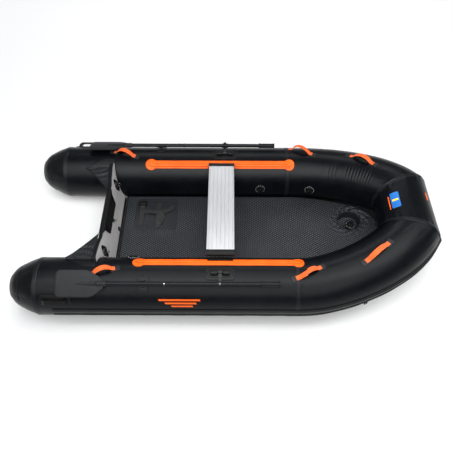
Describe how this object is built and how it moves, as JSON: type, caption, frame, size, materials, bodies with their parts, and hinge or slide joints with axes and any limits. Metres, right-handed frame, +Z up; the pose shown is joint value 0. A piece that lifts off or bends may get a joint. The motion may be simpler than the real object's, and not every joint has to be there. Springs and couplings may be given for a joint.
{
  "type": "inflatable dinghy",
  "caption": "Inflatable dinghy with fabric tubes, air deck, raked transom, sliding seat, stowed oars, webbing handles and towing rings.",
  "frame": {"origin": "centre of the footprint, on the ground under the side tubes", "axes": "+X to the bow, +Y to port, +Z up"},
  "size_m": [3.1509, 1.5632, 0.571],
  "materials": {
    "coated_fabric": "satin coated fabric",
    "grey_fabric": "satin coated fabric",
    "deck": "non-slip moulded pattern",
    "orange_rubber": "satin",
    "orange_webbing": "woven webbing",
    "black_webbing": "woven webbing",
    "black_plastic": "fine moulded grain",
    "grey_plastic": "fine moulded grain",
    "board": "painted plywood, satin",
    "aluminium": "brushed and anodised",
    "steel": "polished stainless",
    "oar_tube": "black anodised"
  },
  "bodies": {
    "hull": {"side_tube_port": "coated_fabric", "side_tube_starboard": "coated_fabric", "shoulder_tube_port": "coated_fabric", "shoulder_tube_starboard": "coated_fabric", "nose_tube": "coated_fabric", "tail_cone_port": "coated_fabric", "tail_cone_starboard": "coated_fabric", "chamber_baffles": "grey_fabric", "rub_strake": "coated_fabric", "hull_bottom": "coated_fabric", "keel_tube": "grey_fabric", "air_deck": "deck", "transom_board": "board", "transom_trim": "black_plastic", "motor_pad_inner": "black_plastic", "motor_pad_outer": "grey_plastic", "transom_seal": "black_plastic", "transom_holder_port": "grey_fabric", "transom_holder_starboard": "grey_fabric", "transom_eyes": "steel", "drain_socket": "black_plastic", "seat_track_port": "orange_rubber", "seat_track_starboard": "orange_rubber", "grab_handle_aft_port": "orange_webbing", "grab_handle_aft_starboard": "orange_webbing", "grab_handle_mid_port": "orange_webbing", "grab_handle_mid_starboard": "orange_webbing", "grab_handle_bow_port": "orange_webbing", "grab_handle_bow_starboard": "orange_webbing", "handle_patches": "grey_fabric", "carry_handles": "black_plastic", "oar_clips": "black_plastic", "rowlock_base_port": "black_plastic", "rowlock_base_starboard": "black_plastic", "valve_bodies": "black_plastic", "tow_patches": "black_plastic", "tank_strap": "black_webbing", "tank_buckle": "black_plastic"},
    "seat": {"seat_plank": "aluminium", "seat_cap_port": "black_plastic", "seat_cap_starboard": "black_plastic"},
    "rowlock_port": {"rowlock_knuckle_port": "grey_plastic"},
    "oar_port": {"oar_blade_port": "grey_plastic", "oar_shaft_lower_port": "oar_tube", "oar_shaft_upper_port": "oar_tube", "oar_grip_port": "black_plastic"},
    "button_port": {"oar_button_port": "steel"},
    "rowlock_starboard": {"rowlock_knuckle_starboard": "grey_plastic"},
    "oar_starboard": {"oar_blade_starboard": "grey_plastic", "oar_shaft_lower_starboard": "oar_tube", "oar_shaft_upper_starboard": "oar_tube", "oar_grip_starboard": "black_plastic"},
    "button_starboard": {"oar_button_starboard": "steel"},
    "valve_cap_port": {"valve_cap_port": "grey_plastic"},
    "valve_cap_starboard": {"valve_cap_starboard": "grey_plastic"},
    "valve_cap_bow": {"valve_cap_bow": "grey_plastic"},
    "keel_valve_cap": {"keel_valve_cap": "grey_plastic"},
    "drain_plug": {"drain_plug": "grey_plastic"},
    "tow_ring_port": {"tow_ring_port": "steel"},
    "tow_ring_starboard": {"tow_ring_starboard": "steel"}
  },
  "joints": [
    {"name": "seat_slide", "type": "slide", "parent": "hull", "child": "seat", "axis": [1, 0, 0], "range_m": [-0.4, 0.38]},
    {"name": "rowlock_tilt_port", "type": "hinge", "parent": "hull", "child": "rowlock_port", "pos_m": [-0.033, 0.57178, 0.43469], "axis": [1, 0, 0], "range_deg": [0, 30]},
    {"name": "oar_swing_port", "type": "hinge", "parent": "rowlock_port", "child": "oar_port", "pos_m": [-0.033, 0.66227, 0.42933], "axis": [0, -0.4226, -0.9063], "range_deg": [0, 85]},
    {"name": "oar_button_press_port", "type": "slide", "parent": "oar_port", "child": "button_port", "axis": [0, -0.4226, -0.9063], "range_m": [0, 0.0035], "stiffness_N_per_m": 400},
    {"name": "rowlock_tilt_starboard", "type": "hinge", "parent": "hull", "child": "rowlock_starboard", "pos_m": [-0.059, -0.57178, 0.43469], "axis": [-1, 0, 0], "range_deg": [0, 30]},
    {"name": "oar_swing_starboard", "type": "hinge", "parent": "rowlock_starboard", "child": "oar_starboard", "pos_m": [-0.059, -0.66227, 0.42933], "axis": [0, -0.4226, 0.9063], "range_deg": [0, 85]},
    {"name": "oar_button_press_starboard", "type": "slide", "parent": "oar_starboard", "child": "button_starboard", "axis": [0, 0.4226, -0.9063], "range_m": [0, 0.0035], "stiffness_N_per_m": 400},
    {"name": "valve_turn_port", "type": "hinge", "parent": "hull", "child": "valve_cap_port", "pos_m": [0.263, 0.35157, 0.23559], "axis": [0, -0.9925, 0.1219], "range_deg": [0, 90]},
    {"name": "valve_turn_starboard", "type": "hinge", "parent": "hull", "child": "valve_cap_starboard", "pos_m": [-0.694, -0.39913, 0.34499], "axis": [0, 0.766, 0.6428], "range_deg": [0, 90]},
    {"name": "valve_turn_bow", "type": "hinge", "parent": "hull", "child": "valve_cap_bow", "pos_m": [0.67124, 0.33326, 0.24511], "axis": [-0.2006, -0.9759, 0.0864], "range_deg": [0, 90]},
    {"name": "keel_valve_turn", "type": "hinge", "parent": "hull", "child": "keel_valve_cap", "pos_m": [1.004, 0.076, 0.112], "axis": [0, 0, 1], "range_deg": [0, 90]},
    {"name": "drain_plug_pull", "type": "slide", "parent": "hull", "child": "drain_plug", "axis": [0.9816, 0, 0.1908], "range_m": [0, 0.03]},
    {"name": "tow_ring_swing_port", "type": "hinge", "parent": "hull", "child": "tow_ring_port", "pos_m": [0.99677, 0.66579, 0.16565], "axis": [0.9284, -0.3265, 0.1776], "range_deg": [0, 95]},
    {"name": "tow_ring_swing_starboard", "type": "hinge", "parent": "hull", "child": "tow_ring_starboard", "pos_m": [0.99677, -0.66579, 0.16565], "axis": [-0.9284, -0.3265, -0.1776], "range_deg": [0, 95]}
  ]
}
